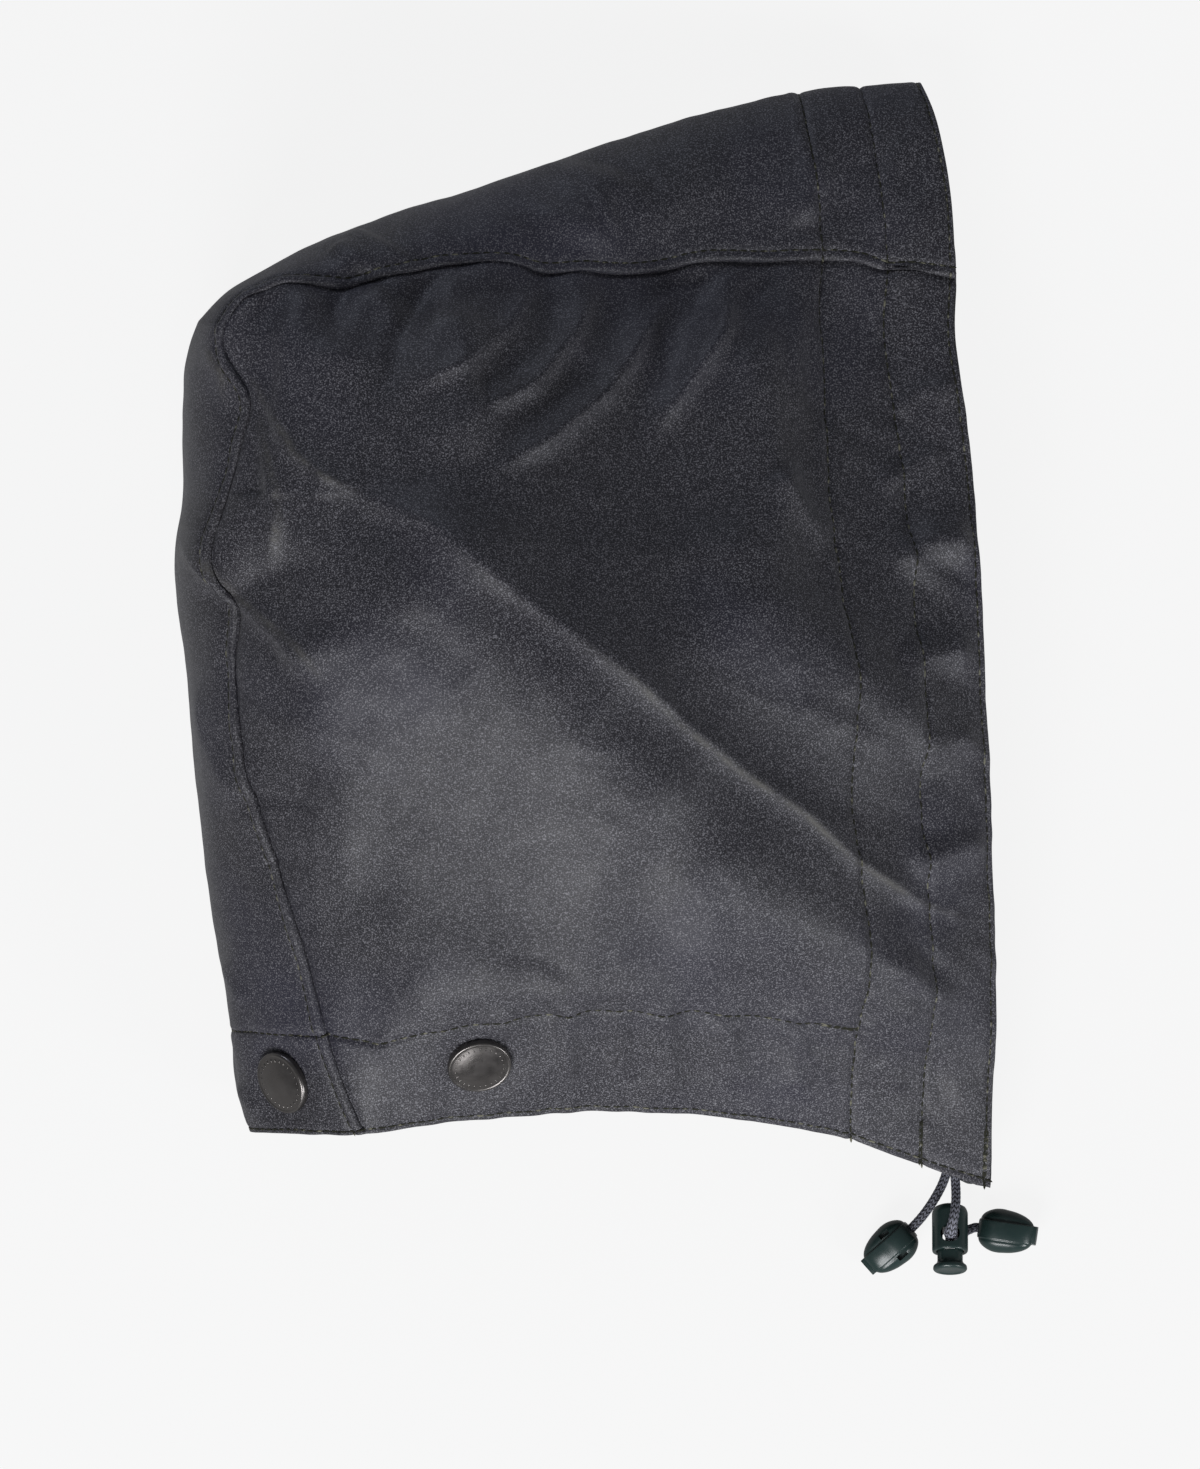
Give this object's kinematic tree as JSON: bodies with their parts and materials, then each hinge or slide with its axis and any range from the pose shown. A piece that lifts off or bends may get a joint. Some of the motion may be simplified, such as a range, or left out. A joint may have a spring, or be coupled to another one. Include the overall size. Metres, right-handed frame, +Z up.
{
  "type": "detachable jacket hood",
  "caption": "Detachable three-panel waxed cotton jacket hood lying on its left side, with gunmetal press studs, a drawcord channel, sprung cord locks and cord bells.",
  "frame": {"origin": "centre of the underside of the hood's box, on the surface that it lies on, cord ends left out", "axes": "+Z up, away from the table; +Y towards the crown; +X towards the face opening; the hood lies on its left side panel"},
  "size_m": [0.2542, 0.3519, 0.1129],
  "materials": {
    "waxed_cotton": "charcoal waxed cotton canvas with a soft waxy sheen",
    "gunmetal": "dark polished gunmetal press stud",
    "braided_cord": "round braided polyester drawcord, black and navy with grey flecks",
    "green_plastic": "moulded dark bottle green plastic, satin gloss"
  },
  "bodies": {
    "hood": {"side_panel_right": "waxed_cotton", "side_panel_left": "waxed_cotton", "centre_panel": "waxed_cotton", "front_facing": "waxed_cotton", "neck_facing": "waxed_cotton", "stud_cap_side_right": "gunmetal", "stud_cap_side_left": "gunmetal", "stud_cap_centre_right": "gunmetal", "stud_cap_centre_left": "gunmetal", "stud_socket_side_right": "gunmetal", "stud_socket_side_left": "gunmetal", "stud_socket_centre_right": "gunmetal", "stud_socket_centre_left": "gunmetal", "drawcord_run": "braided_cord", "cord_end_right": "braided_cord", "cord_end_left": "braided_cord", "cord_lock_right": "green_plastic", "cord_lock_left": "green_plastic", "cord_bell_right": "green_plastic", "cord_bell_left": "green_plastic"},
    "plunger_right": {"plunger_right": "green_plastic"},
    "plunger_left": {"plunger_left": "green_plastic"}
  },
  "joints": [
    {"name": "press_right", "type": "slide", "parent": "hood", "child": "plunger_right", "axis": [0, 0.9564, -0.2921], "range_m": [0, 0.0025], "stiffness_N_per_m": 800, "springref_m": -0.002},
    {"name": "press_left", "type": "slide", "parent": "hood", "child": "plunger_left", "axis": [0.9, -0.436, 0], "range_m": [0, 0.0025], "stiffness_N_per_m": 800, "springref_m": -0.002}
  ]
}
